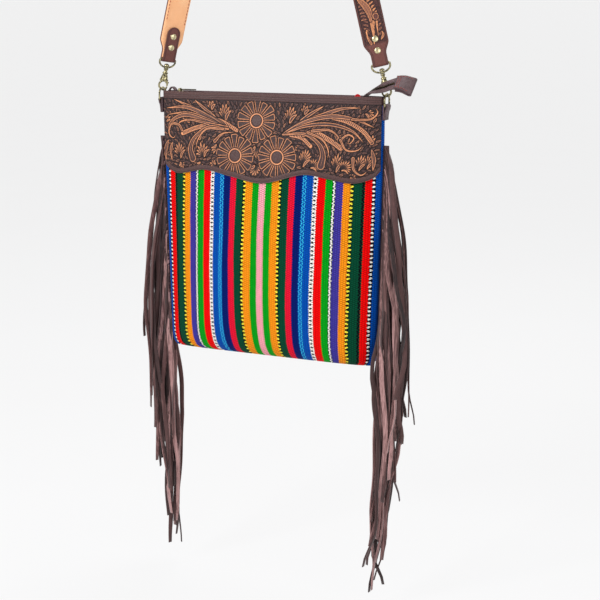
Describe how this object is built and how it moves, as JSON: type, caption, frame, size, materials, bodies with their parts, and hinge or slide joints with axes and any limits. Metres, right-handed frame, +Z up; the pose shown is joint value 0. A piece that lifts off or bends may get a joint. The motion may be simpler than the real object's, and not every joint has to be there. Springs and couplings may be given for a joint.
{
  "type": "leather crossbody bag with woven body and fringe",
  "caption": "Striped woven crossbody bag with a tooled leather yoke, zip top, hook-on leather strap and long leather fringe down both sides.",
  "frame": {"origin": "underside of the strap's highest point, where the bag hangs", "axes": "+X to the right seen from the front, +Y to the back, +Z up"},
  "size_m": [0.3939, 0.084, 1.1375],
  "materials": {
    "woven_cloth": "heavy striped weave",
    "tooled_leather": "tooled, dark brown with copper highlights, semi gloss",
    "plain_leather": "smooth dark brown, semi gloss",
    "tan_leather": "natural tan, matt",
    "fringe_leather": "soft dark brown split leather",
    "red_lining": "plain cloth",
    "zip_cloth": "woven tape",
    "antique_brass": "aged, worn bright on edges"
  },
  "bodies": {
    "bag": {"bag_body": "woven_cloth", "front_yoke": "tooled_leather", "back_yoke": "plain_leather", "lining_corner": "red_lining", "zip_facing_front": "plain_leather", "zip_facing_back": "plain_leather", "zip_tape": "zip_cloth", "zip_teeth": "antique_brass", "zip_slider": "antique_brass", "zip_end_tab": "plain_leather", "zip_tail_cap": "plain_leather", "ring_tab_left": "plain_leather", "ring_tab_right": "plain_leather", "d_ring_left": "antique_brass", "d_ring_right": "antique_brass", "clasp_loop_left": "antique_brass", "clasp_loop_right": "antique_brass", "strap_face": "tooled_leather", "strap_lining": "tan_leather", "rivet_left_lower": "antique_brass", "rivet_left_upper": "antique_brass", "rivet_right_lower": "antique_brass", "rivet_right_upper": "antique_brass", "fringe_left": "fringe_leather", "fringe_right": "fringe_leather"},
    "hook_left": {"clasp_hook_left": "antique_brass"},
    "hook_right": {"clasp_hook_right": "antique_brass"},
    "lever_left": {"clasp_lever_left": "antique_brass"},
    "lever_right": {"clasp_lever_right": "antique_brass"},
    "puller": {"zip_puller": "antique_brass"}
  },
  "joints": [
    {"name": "hook_swivel_left", "type": "hinge", "parent": "bag", "child": "hook_left", "pos_m": [-0.15822, 0, -0.47778], "axis": [0.2419, 0, 0.9703], "range_deg": [-40, 40]},
    {"name": "hook_swivel_right", "type": "hinge", "parent": "bag", "child": "hook_right", "pos_m": [0.15822, 0, -0.47778], "axis": [-0.2419, 0, 0.9703], "range_deg": [-40, 40]},
    {"name": "lever_hinge_left", "type": "hinge", "parent": "hook_left", "child": "lever_left", "pos_m": [-0.15316, 0, -0.47236], "axis": [0, 1, 0], "range_deg": [0, 50], "stiffness_Nm_per_rad": 0.008, "springref_deg": -11.46},
    {"name": "lever_hinge_right", "type": "hinge", "parent": "hook_right", "child": "lever_right", "pos_m": [0.15316, 0, -0.47236], "axis": [0, -1, 0], "range_deg": [0, 50], "stiffness_Nm_per_rad": 0.008, "springref_deg": -11.46},
    {"name": "puller_hinge", "type": "hinge", "parent": "bag", "child": "puller", "pos_m": [-0.1325, 0, -0.48235], "axis": [0, -1, 0], "range_deg": [0, 120]}
  ]
}
